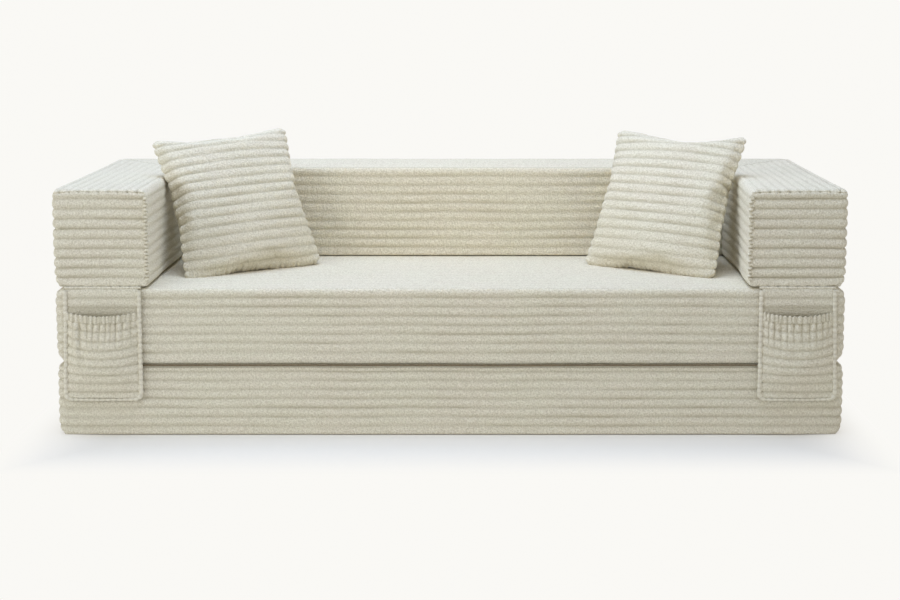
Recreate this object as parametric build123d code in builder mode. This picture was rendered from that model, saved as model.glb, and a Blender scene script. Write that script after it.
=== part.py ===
"""Folding pouf bed: two foam layers hinged at a front crease, a lift-off surround of backrest and arms
that carries two hanging pockets, and two loose pillows. +Y runs from the front to the back."""

import os
from collections import namedtuple
from math import cos, pi, radians, sin, sqrt

from build123d import *

os.makedirs("parts", exist_ok=True)

# Driving sizes of the folded bed
bed_width = 2030.0
bed_depth = 760.0
layer_height = 192.0
surround_height = 252.0
surround_thickness = 240.0

# Ribbed covers
rib_pitch = 24.5
groove_depth = 3.5
groove_width = 11.0
edge_round = 14.0
corner_radius = 36.0
corner_steps = 3
bow_steps = 6
cover_wall = 8.0
bottom_margin = 26.0
fit_gap = 0.3
seam_gap = 0.1
overrun = 5.0

# What lies between the stacked pieces
layer_gap = 2.0
strip_thickness = 0.8
strip_width = 50.0
strip_margin = 60.0

# Fabric crease that joins the two layers
crease_stand_off = 1.5
crease_bead_radius = 1.0
crease_tape_width = 30.0
crease_tape_thickness = 0.6

# Zips across the back
zip_margin = 90.0
zip_rise = 38.0
zip_tape_width = 26.0
zip_tape_thickness = 0.8
zip_chain_width = 5.0
zip_chain_height = 1.6
zip_recess_depth = 5.0
slider_length = 13.0
slider_wall = 1.2
slider_shoulder = 2.0
pull_length = 24.0
pull_width = 6.0
pull_thickness = 1.2

# Hanging pockets
pocket_width = 198.0
pocket_drop = 295.0
pocket_shift_in = 4.0
pocket_panel_thickness = 4.0
pocket_hem_radius = 3.5
pocket_hinge_stand_off = 0.5
pocket_corner_radius = 22.0
binding_width = 10.0
binding_thickness = 8.0
anchor_tape_width = 40.0
pouch_height = 215.0
pouch_wall = 3.0
pouch_bottom_wall = 6.0
pouch_depth = 26.0
pouch_hem_height = 13.0
pouch_hem_thickness = 2.0
elastic_width = 9.0
elastic_thickness = 1.0

# Loose pillows
pillow_size = 400.0
pillow_thickness = 120.0
pillow_edge_thickness = 13.0
pillow_draw_in = 15.0
pillow_groove_depth = 3.0
pillow_wall = 8.0
pillow_seam_margin = 20.0
pillow_off_arm = 243.0
pillow_off_back = 248.0
pillow_turn = 35.0
pillow_lean = 26.0
seam_zip_length = 240.0
seam_zip_height = 7.0
seam_zip_thickness = 1.2
seam_zip_set_in = 2.0
seam_slider_length = 12.0
seam_slider_height = 5.5
seam_slider_wall = 1.3

# Levels and places that follow from these
crease_level = layer_height + layer_gap / 2
seat_bottom = layer_height + layer_gap
seat_top = seat_bottom + layer_height
surround_bottom = seat_top + layer_gap
surround_top = surround_bottom + surround_height
half_width = bed_width / 2
arm_inner = half_width - surround_thickness
bed_front = -bed_depth / 2
bed_back = bed_depth / 2
back_front = bed_back - surround_thickness
sides = {"left": -1, "right": 1}

Block = namedtuple("Block", "left right front back bottom top")

# One rib up the side of a cover: share of its height, and share of the groove's depth there
rib_shares = [(0.0, 1.0), (0.25, 0.0), (0.75, 0.0)]


def outline(block, level, inset):
    """Plan of a block at one level, drawn in by an inset, its corners rounded in a few flat steps"""
    centres = [
        (block.right - corner_radius, block.back - corner_radius),
        (block.left + corner_radius, block.back - corner_radius),
        (block.left + corner_radius, block.front + corner_radius),
        (block.right - corner_radius, block.front + corner_radius),
    ]
    radius = corner_radius - inset
    points = []
    for corner, (across, along) in enumerate(centres):
        for step in range(corner_steps + 1):
            angle = (corner + step / corner_steps) * pi / 2
            points.append((across + radius * cos(angle), along + radius * sin(angle)))
    with BuildSketch(Plane.XY.offset(level)) as plan:
        Polygon(*points, align=None)
    return plan.sketch


def edge_roll(distance):
    """How far a rolled edge draws in at a distance from the face that it runs into"""
    if distance >= edge_round:
        return 0
    return edge_round - sqrt(edge_round**2 - (edge_round - distance) ** 2)


def ribbed_outside(block):
    """Outside of a cover: ribs run level round its sides, and its top and bottom edges roll over"""
    height = block.top - block.bottom
    ribs = round(height / rib_pitch)
    pitch = height / ribs
    rises = [((rib + rise) * pitch, depth) for rib in range(ribs) for rise, depth in rib_shares]
    rings = []
    for rise, depth in rises + [(height, 1.0)]:
        roll = edge_roll(min(rise, height - rise))
        rings.append(outline(block, block.bottom + rise, groove_depth * depth + roll))
    loft(sections=rings, ruled=True)


def mitre_plane(side, gap, faces_arm):
    """Upright plane at 45 degrees through one back corner of the surround, set back by a gap"""
    normal = Vector(side, -1, 0).normalized() * (1 if faces_arm else -1)
    corner = Vector(side * arm_inner, back_front, surround_bottom) + normal * gap
    return Plane(origin=corner, x_dir=(0, 0, 1), z_dir=normal)


def foam_core(block, mitres=(), gap=0.0):
    """Square-cut foam that fills a cover, or with a gap the space that it fills"""
    inset = cover_wall - gap
    with BuildPart() as core:
        extrude(
            outline(block, block.bottom + inset, inset),
            amount=block.top - block.bottom - 2 * inset,
        )
        for side, faces_arm in mitres:
            split(bisect_by=mitre_plane(side, inset, faces_arm))
    return core.part


def underside_panel(block, mitres=(), gap=0.0):
    """Panel sewn into a cover's underside, or with a gap the hole that it closes"""
    inset = bottom_margin - gap
    with BuildPart() as panel:
        extrude(outline(block, block.bottom, inset), amount=cover_wall - fit_gap)
        for side, faces_arm in mitres:
            split(bisect_by=mitre_plane(side, inset, faces_arm))
    return panel.part


def cut_top_grooves(block, plane, low, high):
    """Cut the grooves between the ribs on a cover's top, along the plane's normal"""
    ribs = round((high - low) / rib_pitch)
    pitch = (high - low) / ribs
    with BuildSketch(plane) as grooves:
        with Locations(*[(low + rib * pitch, block.top) for rib in range(1, ribs)]):
            Polygon(
                (-groove_width / 2, overrun),
                (-groove_width / 2, 0),
                (0, -groove_depth),
                (groove_width / 2, 0),
                (groove_width / 2, overrun),
                align=None,
            )
    extrude(grooves.sketch, amount=bed_width, both=True, mode=Mode.SUBTRACT)


def bow_points(middle, base, half_chord, depth, power=1.0):
    """Points of a bow that bulges by a depth from one end of its chord to the other"""
    steps = [2 * step / bow_steps - 1 for step in range(bow_steps + 1)]
    return [(middle + half_chord * step, base - depth * (1 - step**2) ** power) for step in steps]


def lens(half_chord, half_thickness, power=1.0):
    """Points of a section that bulges both ways from its chord"""
    front = bow_points(0, 0, half_chord, half_thickness, power)
    back = bow_points(0, 0, -half_chord, -half_thickness, power)
    return front + back[1:-1]


def finish(piece, name):
    """Label a finished piece and write it"""
    piece.part.label = name
    export_step(piece.part, f"parts/{name}.step")


# Zips across the back faces: tape and chain lie in a recess, and a slider runs on the chain
zip_left = -half_width + zip_margin
zip_right = half_width - zip_margin
recess_face = bed_back - zip_recess_depth
tape_face = recess_face + zip_tape_thickness
chain_face = tape_face + zip_chain_height


def strip_profile(face, level, thickness, width, mode=Mode.ADD):
    """Section of a strip that lies on an upright face, centred on its level"""
    with Locations((face, level)):
        Rectangle(thickness, width, align=(Align.MIN, Align.CENTER), mode=mode)


def cut_zip_recess(level):
    """Cut the recess for a zip into the back face of the cover being made"""
    with BuildSketch(Plane.YZ.offset(zip_left)) as recess:
        strip_profile(recess_face, level, zip_recess_depth + overrun, zip_tape_width)
    extrude(recess.sketch, amount=zip_right - zip_left, mode=Mode.SUBTRACT)


def make_zip(name, level):
    """Tape and chain of one zip, and its slider, parked at the right-hand end"""
    with BuildPart() as tape:
        with BuildSketch(Plane.YZ.offset(zip_left)):
            strip_profile(recess_face, level, zip_tape_thickness, zip_tape_width)
            strip_profile(tape_face, level, zip_chain_height, zip_chain_width)
        extrude(amount=zip_right - zip_left)
    finish(tape, f"{name}_zip")

    slider_thickness = zip_chain_height + slider_wall
    slider_width = zip_chain_width + 2 * slider_shoulder
    with BuildPart() as slider:
        with BuildSketch(Plane.YZ.offset(zip_right - slider_length)):
            strip_profile(tape_face + fit_gap, level, slider_thickness, slider_width)
            strip_profile(
                tape_face,
                level,
                zip_chain_height + fit_gap,
                zip_chain_width + 2 * fit_gap,
                Mode.SUBTRACT,
            )
        extrude(amount=slider_length)
        chamfer(slider.faces().sort_by(Axis.Y)[-1].edges(), length=slider_wall / 2)
        with BuildSketch(Plane.XZ.offset(-chain_face - slider_wall)):
            with Locations((zip_right - slider_length / 2, level)):
                SlotCenterToCenter(pull_length - pull_width, pull_width, rotation=90)
        extrude(amount=-pull_thickness)
    finish(slider, f"{name}_zip_slider")


# The two layers: cover, bottom panel, foam and zip
base_block = Block(-half_width, half_width, bed_front, bed_back, 0, layer_height)
seat_block = Block(-half_width, half_width, bed_front, bed_back, seat_bottom, seat_top)

for name, block in {"base": base_block, "seat": seat_block}.items():
    with BuildPart() as layer_foam:
        add(foam_core(block))
    finish(layer_foam, f"{name}_foam")

    with BuildPart() as layer_panel:
        add(underside_panel(block))
    finish(layer_panel, f"{name}_bottom_panel")

    with BuildPart() as layer_cover:
        ribbed_outside(block)
        add(foam_core(block, gap=fit_gap), mode=Mode.SUBTRACT)
        add(underside_panel(block, gap=seam_gap), mode=Mode.SUBTRACT)
        cut_zip_recess(block.bottom + zip_rise)
        if block is seat_block:
            cut_top_grooves(block, Plane.YZ, bed_front + edge_round, back_front)
    finish(layer_cover, f"{name}_cover")
    make_zip(name, block.bottom + zip_rise)

# Crease: a bead on the fold line with a tape sewn under the seat's front edge, and the base's own tape
crease_length = bed_width - 2 * corner_radius
crease_front = bed_front - crease_stand_off
with BuildPart() as crease_seam:
    with BuildSketch(Plane.YZ.offset(-crease_length / 2)):
        with Locations((crease_front, crease_level)):
            Circle(crease_bead_radius)
        with Locations((crease_front, seat_bottom)):
            Rectangle(crease_tape_width, crease_tape_thickness, align=(Align.MIN, Align.MAX))
    extrude(amount=crease_length)
finish(crease_seam, "crease_seam")

with BuildPart() as crease_tape:
    with BuildSketch(Plane.YZ.offset(-crease_length / 2)):
        with Locations((crease_front + crease_bead_radius + fit_gap, layer_height)):
            Rectangle(crease_tape_width, crease_tape_thickness, align=(Align.MIN, Align.MIN))
    extrude(amount=crease_length)
finish(crease_tape, "base_crease_tape")

# Surround: a backrest and two arms, mitred into each other at the back corners
back_block = Block(-half_width, half_width, back_front, bed_back, surround_bottom, surround_top)
arm_blocks = {
    "left": Block(-half_width, -arm_inner, bed_front, bed_back, surround_bottom, surround_top),
    "right": Block(arm_inner, half_width, bed_front, bed_back, surround_bottom, surround_top),
}
surround_pieces = {
    "back": (back_block, [(side, False) for side in sides.values()], Plane.YZ),
    "arm_left": (arm_blocks["left"], [(sides["left"], True)], Plane.XZ),
    "arm_right": (arm_blocks["right"], [(sides["right"], True)], Plane.XZ),
}

for name, (block, mitres, rib_plane) in surround_pieces.items():
    with BuildPart() as surround_foam:
        add(foam_core(block, mitres))
    finish(surround_foam, f"{name}_foam")

    with BuildPart() as surround_panel:
        add(underside_panel(block, mitres))
    finish(surround_panel, f"{name}_bottom_panel")

    with BuildPart() as surround_cover:
        ribbed_outside(block)
        for side, faces_arm in mitres:
            split(bisect_by=mitre_plane(side, seam_gap / 2, faces_arm))
        add(foam_core(block, mitres, fit_gap), mode=Mode.SUBTRACT)
        add(underside_panel(block, mitres, seam_gap), mode=Mode.SUBTRACT)
        if block is back_block:
            cut_top_grooves(block, rib_plane, block.front, block.back)
            cut_zip_recess(block.bottom + zip_rise)
        else:
            cut_top_grooves(block, rib_plane, block.left, block.right)
    finish(surround_cover, f"{name}_cover")

make_zip("back", surround_bottom + zip_rise)

# Hook-and-loop strips hold the surround on the seat, one run under each arm and one under the backrest
arm_run = back_front - bed_front - 2 * strip_margin
back_run = bed_width - 2 * strip_margin
for name, level in {"hook": seat_top, "loop": surround_bottom - strip_thickness}.items():
    with BuildPart() as strips:
        with BuildSketch(Plane.XY.offset(level)):
            for side in sides.values():
                with Locations((side * (arm_inner + half_width) / 2, (bed_front + back_front) / 2)):
                    Rectangle(strip_width, arm_run)
            with Locations((0, (back_front + bed_back) / 2)):
                Rectangle(back_run, strip_width)
        extrude(amount=strip_thickness)
    finish(strips, f"surround_{name}_strips")

# Hanging pockets: each turns on its hem, which lies on a line as far above the crease as the floor is below
hem_level = 2 * crease_level
hem_front = bed_front - pocket_hinge_stand_off
panel_back = crease_front - crease_bead_radius - fit_gap
panel_front = panel_back - pocket_panel_thickness
pocket_low = hem_level - pocket_drop
pouch_width = pocket_width - 2 * binding_width
pouch_low = pocket_low + binding_width
pouch_chamfer = pocket_corner_radius - binding_width
body_height = pouch_height - pouch_hem_height
hem_low = pouch_low + body_height
hem_high = pouch_low + pouch_height
mouth_share = 0.7
mouth_depth = pouch_depth * mouth_share
bag_power = 0.5

# Swell of a pouch: share of its height under the hem, and share of its depth there
pouch_shares = [(0.0, 0.25), (0.12, 0.55), (0.35, 0.85), (0.6, 1.0), (0.85, 0.9), (1.0, mouth_share)]


def panel_outline(middle, low, high, width, radius):
    """Front view of a panel with its two lower corners rounded"""
    with BuildSketch(Plane.XZ.offset(-panel_back)) as panel:
        with Locations((middle, low)):
            Rectangle(width, high - low, align=(Align.CENTER, Align.MIN))
        fillet(panel.vertices().group_by(Axis.Y)[0], radius)
    return panel.sketch


def hem_roll(middle, radius):
    """Round piping along the top hem that the panel hangs from and turns about"""
    with BuildPart() as roll:
        with BuildSketch(Plane.YZ.offset(middle - pocket_width / 2)):
            with Locations((hem_front, hem_level)):
                Circle(radius)
        extrude(amount=pocket_width)
    return roll.part


def bag(middle, profile, grow):
    """Solid that hangs in front of the panel: bowed from side to side, and as deep as its profile"""
    low, high = profile[0][0], profile[-1][0]
    bow = bow_points(middle, panel_front, pouch_width / 2 + min(grow, 0), pouch_depth + grow, bag_power)
    edge = [(panel_front - depth, level) for level, depth in profile]
    with BuildPart() as body:
        with BuildSketch(Plane.XY.offset(low)) as plan:
            Polygon(*bow, align=None)
        extrude(plan.sketch, amount=high - low)
        with BuildSketch(Plane.YZ.offset(middle)) as side_view:
            Polygon((panel_front, low), *edge, (panel_front, high), align=None)
        extrude(side_view.sketch, amount=pouch_width, both=True, mode=Mode.INTERSECT)
    return body.part


def pouch_body(middle, inset=0.0):
    """Solid pouch, or the space inside it when it is drawn in by an inset"""
    lift = pouch_bottom_wall if inset else 0
    profile = [
        (pouch_low + lift + rise * (body_height - lift), pouch_depth * depth - inset)
        for rise, depth in pouch_shares
    ]
    profile.append((hem_high + (overrun if inset else 0), mouth_depth - inset))
    front_view = panel_outline(
        middle, profile[0][0], profile[-1][0], pouch_width - 2 * inset, pouch_chamfer - inset
    )
    with BuildPart() as body:
        add(bag(middle, profile, -inset))
        extrude(front_view, amount=pocket_panel_thickness + pouch_depth, mode=Mode.INTERSECT)
    return body.part


def hem_ring(middle, low, height, outer, inner):
    """Band round the mouth between two distances outside the pouch's front"""
    with BuildPart() as ring:
        for reach, mode in ((outer, Mode.ADD), (inner, Mode.SUBTRACT)):
            profile = [(low, mouth_depth + reach), (low + height, mouth_depth + reach)]
            add(bag(middle, profile, reach), mode=mode)
    return ring.part


elastic_low = hem_low + (pouch_hem_height - elastic_width) / 2

for name, side in sides.items():
    middle = side * ((arm_inner + half_width) / 2 - pocket_shift_in)

    with BuildPart() as hem_piping:
        add(hem_roll(middle, pocket_hem_radius))
    finish(hem_piping, f"pocket_{name}_hem_piping")

    with BuildPart() as pocket_panel:
        plate = panel_outline(middle, pouch_low, hem_level, pouch_width, pouch_chamfer)
        extrude(plate, amount=pocket_panel_thickness)
        add(hem_roll(middle, pocket_hem_radius + seam_gap), mode=Mode.SUBTRACT)
    finish(pocket_panel, f"pocket_{name}_panel")

    binding_high = hem_level - pocket_hem_radius - fit_gap
    with BuildPart() as binding:
        rim = panel_outline(middle, pocket_low, binding_high, pocket_width, pocket_corner_radius)
        extrude(rim, amount=binding_thickness)
        chamfer(binding.faces().sort_by(Axis.Y)[0].edges(), length=binding_width / 4)
        hole = panel_outline(middle, pouch_low, hem_level, pouch_width, pouch_chamfer)
        extrude(hole, amount=binding_thickness, mode=Mode.SUBTRACT)
    finish(binding, f"pocket_{name}_binding")

    with BuildPart() as pouch:
        add(pouch_body(middle))
        add(hem_ring(middle, hem_low, pouch_hem_height, pouch_hem_thickness, -pouch_wall))
        add(pouch_body(middle, pouch_wall), mode=Mode.SUBTRACT)
        add(
            hem_ring(
                middle,
                elastic_low - seam_gap,
                elastic_width + 2 * seam_gap,
                seam_gap,
                -elastic_thickness - seam_gap,
            ),
            mode=Mode.SUBTRACT,
        )
    finish(pouch, f"pocket_{name}_pouch")

    with BuildPart() as elastic:
        add(hem_ring(middle, elastic_low, elastic_width, 0, -elastic_thickness))
    finish(elastic, f"pocket_{name}_elastic")

    with BuildPart() as anchor_tape:
        with BuildSketch(Plane.XY.offset(surround_bottom - strip_thickness)):
            with Locations((middle, hem_front + pocket_hem_radius + fit_gap)):
                Rectangle(pocket_width, anchor_tape_width, align=(Align.CENTER, Align.MIN))
        extrude(amount=strip_thickness)
    finish(anchor_tape, f"pocket_{name}_anchor_tape")

# Pillows: crowned, drawn in between the corners, ribbed across, and leant into the back corners
pillow_lift = pillow_edge_thickness / 2 * sin(radians(pillow_lean)) + fit_gap
pillow_ribs = round(pillow_size / rib_pitch)
crown_power = 0.7
insert_power = 1.5
pillow_rib_shares = [(0.0, 1.0), (0.5, 0.0)]
slot_height = seam_zip_set_in + seam_zip_height
slot_half = seam_zip_thickness / 2 + fit_gap + seam_slider_wall + fit_gap


def pillow_plan(plane, rise, inset, seam_inset):
    """Cross-section of a pillow at a height up it: two bows that meet at the side seams"""
    swell = abs(sin(pi * rise / pillow_size))
    half_thickness = pillow_edge_thickness / 2
    half_thickness += (pillow_thickness / 2 - half_thickness) * swell**crown_power - inset
    half_chord = pillow_size / 2 - pillow_draw_in * swell - seam_inset
    with BuildSketch(plane.offset(rise)) as plan:
        Polygon(*lens(half_chord, half_thickness), align=None)
    return plan.sketch


def pillow_outside(plane):
    """Ribbed outside of a pillow"""
    pitch = pillow_size / pillow_ribs
    rings = [pillow_plan(plane, 0, 0, 0)]
    for rib in range(pillow_ribs):
        for rise, depth in pillow_rib_shares:
            if rib + rise:
                inset = pillow_groove_depth * depth
                rings.append(pillow_plan(plane, (rib + rise) * pitch, inset, inset))
    rings.append(pillow_plan(plane, pillow_size, 0, 0))
    loft(sections=rings, ruled=True)


def pillow_insert(plane, gap=0.0):
    """Plain stuffed insert, crowned both ways, or with a gap the space for it"""
    half_height = pillow_size / 2 - pillow_seam_margin + gap
    half_chord = half_height - pillow_draw_in
    half_thickness = pillow_thickness / 2 - pillow_wall + gap
    centre = plane.offset(pillow_size / 2).origin
    with BuildPart() as insert:
        with BuildSketch(Plane(centre, plane.x_dir, plane.z_dir)) as across:
            Polygon(*lens(half_chord, half_thickness, insert_power), align=None)
        extrude(across.sketch, amount=half_height, both=True)
        with BuildSketch(Plane(centre, plane.z_dir, plane.x_dir)) as upward:
            Polygon(*lens(half_height, half_thickness, insert_power), align=None)
        extrude(upward.sketch, amount=half_chord, both=True, mode=Mode.INTERSECT)
    return insert.part


def seam_box(plane, left, right, low, high, half_thickness):
    """Upright box in the plane of a pillow's seam"""
    with BuildPart() as box:
        with BuildSketch(plane.offset(low)):
            with Locations(((left + right) / 2, 0)):
                Rectangle(right - left, 2 * half_thickness)
        extrude(amount=high - low)
    return box.part


for name, side in sides.items():
    across = Vector(1, 0, 0).rotate(Axis.Z, -side * pillow_turn)
    upward = Vector(0, 0, 1).rotate(Axis((0, 0, 0), across), -pillow_lean)
    foot_across = side * (arm_inner - pillow_off_arm)
    foot = Vector(foot_across, back_front - pillow_off_back, seat_top + pillow_lift)
    pillow_plane = Plane(origin=foot, x_dir=across, z_dir=upward)
    seam_plane = Plane(origin=foot, x_dir=across, z_dir=pillow_plane.y_dir)
    zip_end = seam_zip_length / 2

    with BuildPart() as insert:
        add(pillow_insert(pillow_plane))
    finish(insert, f"pillow_{name}_insert")

    with BuildPart() as pillow_case:
        pillow_outside(pillow_plane)
        add(pillow_insert(pillow_plane, fit_gap), mode=Mode.SUBTRACT)
        slot = seam_box(pillow_plane, -zip_end, zip_end, -overrun, slot_height, slot_half)
        add(slot, mode=Mode.SUBTRACT)

    for face, keep in {"front": Keep.BOTTOM, "back": Keep.TOP}.items():
        with BuildPart() as pillow_panel:
            add(pillow_case.part)
            split(bisect_by=seam_plane, keep=keep)
        finish(pillow_panel, f"pillow_{name}_{face}_panel")

    with BuildPart() as seam_zip:
        add(
            seam_box(
                pillow_plane,
                -zip_end + fit_gap,
                zip_end - fit_gap,
                seam_zip_set_in,
                slot_height,
                seam_zip_thickness / 2,
            )
        )
    finish(seam_zip, f"pillow_{name}_zip")

    with BuildPart() as seam_slider:
        slider_end = zip_end - fit_gap
        slit_half = seam_zip_thickness / 2 + fit_gap
        slider_span = (pillow_plane, slider_end - seam_slider_length, slider_end)
        add(seam_box(*slider_span, fit_gap, seam_slider_height, slit_half + seam_slider_wall))
        add(
            seam_box(*slider_span, seam_zip_set_in - fit_gap, seam_slider_height, slit_half),
            mode=Mode.SUBTRACT,
        )
    finish(seam_slider, f"pillow_{name}_zip_slider")
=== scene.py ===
from math import cos, exp, hypot, pi, radians, sin

import bmesh
import bpy
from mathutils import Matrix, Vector, noise


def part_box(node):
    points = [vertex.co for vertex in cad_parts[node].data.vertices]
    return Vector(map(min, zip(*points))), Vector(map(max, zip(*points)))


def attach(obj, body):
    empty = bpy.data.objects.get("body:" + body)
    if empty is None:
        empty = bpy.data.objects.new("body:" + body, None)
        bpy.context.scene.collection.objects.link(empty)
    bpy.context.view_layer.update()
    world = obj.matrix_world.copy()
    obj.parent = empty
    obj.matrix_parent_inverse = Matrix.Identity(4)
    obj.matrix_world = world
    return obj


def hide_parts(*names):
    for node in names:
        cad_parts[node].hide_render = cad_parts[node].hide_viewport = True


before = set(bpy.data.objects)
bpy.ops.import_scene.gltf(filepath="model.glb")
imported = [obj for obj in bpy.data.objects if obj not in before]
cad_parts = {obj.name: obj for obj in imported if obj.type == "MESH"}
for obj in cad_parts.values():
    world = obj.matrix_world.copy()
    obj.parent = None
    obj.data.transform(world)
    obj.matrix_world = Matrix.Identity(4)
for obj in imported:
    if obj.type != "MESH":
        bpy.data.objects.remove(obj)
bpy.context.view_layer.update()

# Camera: about four metres in front of the bed, a little above the backrest and tilted
# down a few degrees, with a small shift that puts the bed low in the picture as in the photograph.
camera_data = bpy.data.cameras.new("camera")
camera_data.lens = 62
camera_data.sensor_width = 36
camera_data.shift_x = -0.0306
camera_data.shift_y = -0.112
camera = bpy.data.objects.new("camera", camera_data)
camera_tilt = radians(7)
camera.location = (0.0703, -4.294, 1.0966)
camera.rotation_euler = (pi / 2 - camera_tilt, 0, 0)
bpy.context.scene.collection.objects.link(camera)
bpy.context.scene.camera = camera

# Studio: a plain pale floor under a white sky, with a wide cool lamp overhead, a soft lamp in front on
# each side, one behind and a small warm one on the backrest. The camera sees the sky as an even warm
# white, and the floor fades into it a little way round the bed.
bpy.context.scene.view_settings.view_transform = "Standard"


def add_node(tree, kind, inputs=(), **settings):
    """Add a shader node and give each named input a value or another node's output"""
    made = tree.nodes.new("ShaderNode" + kind)
    for name, value in settings.items():
        setattr(made, name, value)
    for name, value in dict(inputs).items():
        if isinstance(value, bpy.types.NodeSocket):
            tree.links.new(value, made.inputs[name])
        else:
            made.inputs[name].default_value = value
    return made


backdrop_white = (0.955, 0.945, 0.914, 1)
sky = bpy.data.worlds.new("studio sky")
sky.use_nodes = True
bpy.context.scene.world = sky
sky_tree = sky.node_tree
sky_tree.nodes.clear()
ray = add_node(sky_tree, "LightPath")
ray_kinds = ("Camera", "Glossy", "Transmission")
camera_ray, glossy_ray, clear_ray = [ray.outputs[f"Is {kind} Ray"] for kind in ray_kinds]
straight = add_node(sky_tree, "Math", {0: camera_ray, 1: glossy_ray}, operation="MAXIMUM")
seen = add_node(sky_tree, "Math", {0: straight.outputs[0], 1: clear_ray}, operation="MAXIMUM")
fill = add_node(sky_tree, "Background", {"Color": (0.98, 0.97, 1.0, 1), "Strength": 0.32})
plain = add_node(sky_tree, "Background", {"Color": backdrop_white, "Strength": 1.0})
chosen = add_node(sky_tree, "MixShader", {0: seen.outputs[0], 1: fill.outputs[0], 2: plain.outputs[0]})
add_node(sky_tree, "OutputWorld", {"Surface": chosen.outputs[0]})


def soft_lamp(name, place, aim, width, depth, power, colour=(1, 1, 1)):
    """Wide rectangular lamp that points at a place"""
    lamp_data = bpy.data.lights.new(name, "AREA")
    lamp_data.shape = "RECTANGLE"
    lamp_data.size = width
    lamp_data.size_y = depth
    lamp_data.energy = power
    lamp_data.color = colour
    lamp = bpy.data.objects.new(name, lamp_data)
    lamp.location = place
    lamp.rotation_euler = (Vector(aim) - Vector(place)).to_track_quat("-Z", "Y").to_euler()
    bpy.context.scene.collection.objects.link(lamp)


soft_lamp("overhead lamp", (-0.3, -0.5, 3.4), (0, -0.2, 0), 3.6, 2.2, 104, (0.63, 0.75, 1.0))
soft_lamp("left lamp", (-3.4, -2.4, 1.5), (0, 0, 0.4), 3.2, 2.2, 51, (0.93, 0.97, 1.0))
soft_lamp("right lamp", (4.4, -1.9, 1.5), (0, 0, 0.4), 2.8, 2.0, 22, (1.0, 0.96, 0.84))
soft_lamp("rear lamp", (1.2, 3.8, 1.8), (0, 0.2, 0.5), 2.0, 1.6, 42, (0.97, 0.99, 1.0))
soft_lamp("backrest lamp", (0.0, -2.1, 2.6), (0, 0.14, 0.56), 1.2, 0.4, 0.6, (1.0, 0.80, 0.45))
bpy.data.lights["backrest lamp"].spread = radians(36)


def new_finish(name, roughness):
    """New material with its nodes, its shader and the place on the object that its patterns follow"""
    finish = bpy.data.materials.new(name)
    finish.use_nodes = True
    shader = finish.node_tree.nodes["Principled BSDF"]
    shader.inputs["Roughness"].default_value = roughness
    return finish, finish.node_tree, shader, add_node(finish.node_tree, "TexCoord").outputs["Object"]


floor_half_width = 30
floor_mesh = bmesh.new()
bmesh.ops.create_grid(floor_mesh, x_segments=1, y_segments=1, size=floor_half_width)
floor_data = bpy.data.meshes.new("floor")
floor_mesh.to_mesh(floor_data)
floor_mesh.free()
floor = bpy.data.objects.new("floor", floor_data)
bpy.context.scene.collection.objects.link(floor)
floor_paint, floor_tree, paint, floor_place = new_finish("floor paint", 0.9)
paint.inputs["Base Color"].default_value = (0.825, 0.785, 0.70, 1)
paint.inputs["Specular IOR Level"].default_value = 0.1
floor_parts = add_node(floor_tree, "SeparateXYZ", {"Vector": floor_place})
fades = []
for way, fade_start, fade_end in (("X", 0.86, 1.12), ("Y", 0.46, 0.74)):
    away = add_node(floor_tree, "Math", {0: floor_parts.outputs[way]}, operation="ABSOLUTE").outputs[0]
    span = {"Value": away, 1: fade_start, 2: fade_end}
    fades.append(add_node(floor_tree, "MapRange", span, interpolation_type="SMOOTHSTEP").outputs[0])
fading = add_node(floor_tree, "Math", {0: fades[0], 1: fades[1]}, operation="MAXIMUM").outputs[0]
floor_ray = add_node(floor_tree, "LightPath").outputs["Is Camera Ray"]
faded = add_node(floor_tree, "Math", {0: fading, 1: floor_ray}, operation="MULTIPLY")
clear = add_node(floor_tree, "Emission", {"Color": backdrop_white, "Strength": 1.0})
floor_mix = add_node(floor_tree, "MixShader", {0: faded.outputs[0], 1: paint.outputs[0], 2: clear.outputs[0]})
floor_tree.links.new(floor_mix.outputs[0], floor_tree.nodes["Material Output"].inputs["Surface"])
floor_data.materials.append(floor_paint)

# The two layers: firm foam slabs in loose zip-off covers of ribbed chenille, whose ribs run level round
# the sides and from end to end on top. Their ends roll over in a wide curve and stand a little proud of
# the foam. A cover is a box of fine cells: its edges and corners are rounded, then its ribs pressed in.
bed_width = 2.030
bed_depth = 0.760
end_fullness = 0.0045
layer_height = 0.192
seat_bottom = 0.194
seat_top = 0.386
crease_level = 0.193
crease_sag = 0.0082
crease_ripple = 0.0022
ripple_length = 0.28
crease_end_run = 0.12
crease_reach = 0.03
crease_inward = 0.04
crease_shade_reach = 0.010
rib_cells = 6
length_cells = 100
seat_ribs = 31
layer_ribs = 8
corner_radius = 0.026
top_seam_inset = 0.0082
top_seam_width = 0.003
top_seam_depth = 0.0012
touching = 1e-4
floor_clearance = 0.001
clearance_run = 0.012
cloth_drift = 0.11
cloth_slack = 0.0020
cloth_rise = 0.0016
chenille_pale = (0.835, 0.78, 0.615, 1)
chenille_lit = (0.90, 0.86, 0.71, 1)
chenille_shade = (0.56, 0.51, 0.37, 1)
chenille_pink = (0.835, 0.76, 0.61, 1)
painted_shade_colour = (0.42, 0.37, 0.235, 1)


def padded_box(low, high, cells):
    """Box cut into even cells along each way, which remembers where each point lay when it was flat"""
    cover = bmesh.new()
    bmesh.ops.create_cube(cover, size=1)
    middle = [(a + b) / 2 for a, b in zip(low, high)]
    bmesh.ops.scale(cover, vec=[b - a for a, b in zip(low, high)], verts=cover.verts)
    bmesh.ops.translate(cover, vec=middle, verts=cover.verts)
    for way, count in enumerate(cells):
        runs = [e for e in cover.edges if abs((e.verts[0].co - e.verts[1].co)[way]) > 1e-6]
        if count > 1:
            bmesh.ops.subdivide_edges(cover, edges=runs, cuts=count - 1, use_grid_fill=True)
    return cover


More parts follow.
